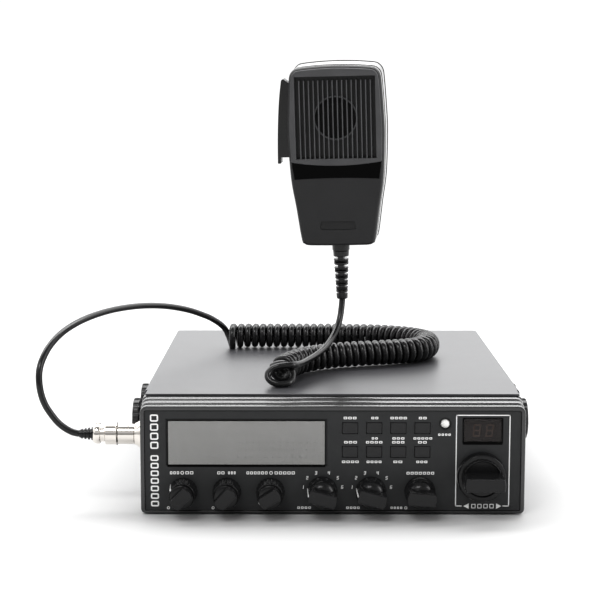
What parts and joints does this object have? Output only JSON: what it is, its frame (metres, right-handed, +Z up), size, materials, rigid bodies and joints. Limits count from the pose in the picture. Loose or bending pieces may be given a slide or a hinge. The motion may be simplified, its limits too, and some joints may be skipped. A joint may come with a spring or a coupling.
{
  "type": "mobile transceiver",
  "caption": "Slim dash-mount radio with ridged front frame, wide meter window, concentric knobs, push-buttons and an upright fist microphone on a curly cord plugged in at the side.",
  "frame": {"origin": "middle of the flat underside of the case", "axes": "+Z up, control face towards -Y, microphone plug on the -X side"},
  "size_m": [0.2608, 0.2714, 0.236],
  "materials": {
    "cover_paint": "satin black stoved paint with a fine texture",
    "bare_steel": "zinc-plated sheet",
    "black_anodised": "black anodised extrusion",
    "frame_plastic": "satin black moulding",
    "panel_plastic": "fine matte charcoal moulding",
    "clear_window": "clear flat window over an unlit display",
    "smoked_window": "smoked flat window",
    "display_module": "unlit liquid crystal",
    "digit_module": "unlit digits",
    "lamp": "diffused clear lamp",
    "circuit_board": "solder-masked laminate with parts",
    "control_metal": "die-cast and turned",
    "switch_plastic": "phenolic wafers",
    "knob_plastic": "satin black moulding with white pointer lines",
    "button_plastic": "satin black moulding",
    "screw_plastic": "satin black fluted heads",
    "speaker_basket": "black pressed basket",
    "nickel": "nickel plated",
    "black_plastic": "moulded",
    "black_screws": "black oxide",
    "bright_chrome": "bright nickel plate",
    "cord_rubber": "satin black sheath",
    "handset_plastic": "fine grained charcoal moulding",
    "handset_back_plastic": "fine grained charcoal moulding",
    "lever_plastic": "satin black moulding",
    "capsule_metal": "pressed can",
    "button_steel": "turned button"
  },
  "bodies": {
    "transceiver": {"top_cover": "cover_paint", "bottom_cover": "cover_paint", "chassis": "bare_steel", "heat_sink": "black_anodised", "front_frame": "frame_plastic", "front_panel": "panel_plastic", "meter_lens": "clear_window", "meter_display": "display_module", "channel_lens": "smoked_window", "channel_display": "digit_module", "status_led": "lamp", "front_board": "circuit_board", "main_board": "circuit_board", "potentiometers": "control_metal", "selector_switches": "switch_plastic", "encoders": "control_metal", "loudspeaker": "speaker_basket", "antenna_socket": "nickel", "power_inlet": "black_plastic", "speaker_jacks": "nickel", "cover_screws": "black_screws", "power_transistors": "black_plastic", "mic_socket": "bright_chrome", "plug_body": "bright_chrome", "plug_boot": "cord_rubber", "lead": "cord_rubber", "curl": "cord_rubber", "handset_lead": "cord_rubber"},
    "clarifier_shaft": {"clarifier_shaft": "control_metal"},
    "volume_knob": {"volume_knob": "knob_plastic"},
    "squelch_ring": {"squelch_ring": "knob_plastic"},
    "echo_knob": {"echo_knob": "knob_plastic"},
    "tone_ring": {"tone_ring": "knob_plastic"},
    "gain_knob": {"gain_knob": "knob_plastic"},
    "power_ring": {"power_ring": "knob_plastic"},
    "band_knob": {"band_knob": "knob_plastic"},
    "mode_knob": {"mode_knob": "knob_plastic"},
    "clarifier_knob": {"clarifier_knob": "knob_plastic"},
    "channel_knob": {"channel_knob": "knob_plastic"},
    "button_1": {"button_1": "button_plastic"},
    "button_2": {"button_2": "button_plastic"},
    "button_3": {"button_3": "button_plastic"},
    "button_4": {"button_4": "button_plastic"},
    "button_5": {"button_5": "button_plastic"},
    "button_6": {"button_6": "button_plastic"},
    "button_7": {"button_7": "button_plastic"},
    "button_8": {"button_8": "button_plastic"},
    "thumb_screw_left_front": {"thumb_screw_left_front": "screw_plastic"},
    "thumb_screw_left_rear": {"thumb_screw_left_rear": "screw_plastic"},
    "thumb_screw_right_front": {"thumb_screw_right_front": "screw_plastic"},
    "thumb_screw_right_rear": {"thumb_screw_right_rear": "screw_plastic"},
    "coupling_ring": {"coupling_ring": "bright_chrome"},
    "ptt_lever": {"ptt_lever": "lever_plastic"},
    "handset": {"strain_relief": "cord_rubber", "handset_front": "handset_plastic", "handset_rear": "handset_back_plastic", "ptt_switch": "black_plastic", "mic_capsule": "capsule_metal", "handset_screws": "black_screws", "hanger_button": "button_steel"}
  },
  "joints": [
    {"name": "squelch_ring_turn", "type": "hinge", "parent": "transceiver", "child": "squelch_ring", "pos_m": [-0.0777, -0.1175, 0.012], "axis": [0, 1, 0], "range_deg": [-90, 210]},
    {"name": "volume_knob_turn", "type": "hinge", "parent": "transceiver", "child": "volume_knob", "pos_m": [-0.0777, -0.1175, 0.012], "axis": [0, 1, 0], "range_deg": [-15, 285]},
    {"name": "tone_ring_turn", "type": "hinge", "parent": "transceiver", "child": "tone_ring", "pos_m": [-0.055, -0.1175, 0.012], "axis": [0, 1, 0], "range_deg": [-20, 280]},
    {"name": "echo_knob_turn", "type": "hinge", "parent": "transceiver", "child": "echo_knob", "pos_m": [-0.055, -0.1175, 0.012], "axis": [0, 1, 0], "range_deg": [-12, 288]},
    {"name": "power_ring_turn", "type": "hinge", "parent": "transceiver", "child": "power_ring", "pos_m": [-0.0323, -0.1175, 0.012], "axis": [0, 1, 0], "range_deg": [-25, 275]},
    {"name": "gain_knob_turn", "type": "hinge", "parent": "transceiver", "child": "gain_knob", "pos_m": [-0.0323, -0.1175, 0.012], "axis": [0, 1, 0], "range_deg": [-28, 272]},
    {"name": "band_knob_turn", "type": "hinge", "parent": "transceiver", "child": "band_knob", "pos_m": [-0.0054, -0.1175, 0.012], "axis": [0, 1, 0], "range_deg": [0, 150]},
    {"name": "mode_knob_turn", "type": "hinge", "parent": "transceiver", "child": "mode_knob", "pos_m": [0.02, -0.1175, 0.012], "axis": [0, 1, 0], "range_deg": [0, 150]},
    {"name": "clarifier_turn", "type": "hinge", "parent": "transceiver", "child": "clarifier_shaft", "pos_m": [0.0454, -0.1175, 0.012], "axis": [0, 1, 0], "continuous": true},
    {"name": "clarifier_push", "type": "slide", "parent": "clarifier_shaft", "child": "clarifier_knob", "axis": [0, 1, 0], "range_m": [0, 0.0005], "stiffness_N_per_m": 1500, "springref_m": -0.0005},
    {"name": "channel_knob_turn", "type": "hinge", "parent": "transceiver", "child": "channel_knob", "pos_m": [0.0772, -0.1175, 0.0203], "axis": [0, 1, 0], "continuous": true},
    {"name": "button_1_press", "type": "slide", "parent": "transceiver", "child": "button_1", "axis": [0, 1, 0], "range_m": [0, 0.0008], "stiffness_N_per_m": 1500, "springref_m": -0.0005},
    {"name": "button_2_press", "type": "slide", "parent": "transceiver", "child": "button_2", "axis": [0, 1, 0], "range_m": [0, 0.0008], "stiffness_N_per_m": 1500, "springref_m": -0.0005},
    {"name": "button_3_press", "type": "slide", "parent": "transceiver", "child": "button_3", "axis": [0, 1, 0], "range_m": [0, 0.0008], "stiffness_N_per_m": 1500, "springref_m": -0.0005},
    {"name": "button_4_press", "type": "slide", "parent": "transceiver", "child": "button_4", "axis": [0, 1, 0], "range_m": [0, 0.0008], "stiffness_N_per_m": 1500, "springref_m": -0.0005},
    {"name": "button_5_press", "type": "slide", "parent": "transceiver", "child": "button_5", "axis": [0, 1, 0], "range_m": [0, 0.0008], "stiffness_N_per_m": 1500, "springref_m": -0.0005},
    {"name": "button_6_press", "type": "slide", "parent": "transceiver", "child": "button_6", "axis": [0, 1, 0], "range_m": [0, 0.0008], "stiffness_N_per_m": 1500, "springref_m": -0.0005},
    {"name": "button_7_press", "type": "slide", "parent": "transceiver", "child": "button_7", "axis": [0, 1, 0], "range_m": [0, 0.0008], "stiffness_N_per_m": 1500, "springref_m": -0.0005},
    {"name": "button_8_press", "type": "slide", "parent": "transceiver", "child": "button_8", "axis": [0, 1, 0], "range_m": [0, 0.0008], "stiffness_N_per_m": 1500, "springref_m": -0.0005},
    {"name": "thumb_screw_left_front_turn", "type": "hinge", "parent": "transceiver", "child": "thumb_screw_left_front", "pos_m": [-0.1, -0.0815, 0.0433], "axis": [-1, 0, 0], "continuous": true},
    {"name": "thumb_screw_left_rear_turn", "type": "hinge", "parent": "transceiver", "child": "thumb_screw_left_rear", "pos_m": [-0.1, -0.0395, 0.0433], "axis": [-1, 0, 0], "continuous": true},
    {"name": "thumb_screw_right_front_turn", "type": "hinge", "parent": "transceiver", "child": "thumb_screw_right_front", "pos_m": [0.1, -0.0815, 0.0433], "axis": [1, 0, 0], "continuous": true},
    {"name": "thumb_screw_right_rear_turn", "type": "hinge", "parent": "transceiver", "child": "thumb_screw_right_rear", "pos_m": [0.1, -0.0395, 0.0433], "axis": [1, 0, 0], "continuous": true},
    {"name": "coupling_ring_turn", "type": "hinge", "parent": "transceiver", "child": "coupling_ring", "pos_m": [-0.108, -0.1015, 0.039], "axis": [-1, 0, 0], "continuous": true},
    {"name": "handset_turn", "type": "hinge", "parent": "transceiver", "child": "handset", "pos_m": [0.0061, -0.0155, 0.133], "axis": [-0.0296, -0.0767, 0.9966], "range_deg": [-180, 180]},
    {"name": "ptt_lever_press", "type": "hinge", "parent": "handset", "child": "ptt_lever", "pos_m": [-0.02054, -0.02876, 0.22149], "axis": [-0.1022, -0.9916, -0.0794], "range_deg": [0, 4], "stiffness_Nm_per_rad": 0.8, "springref_deg": -3.44}
  ]
}
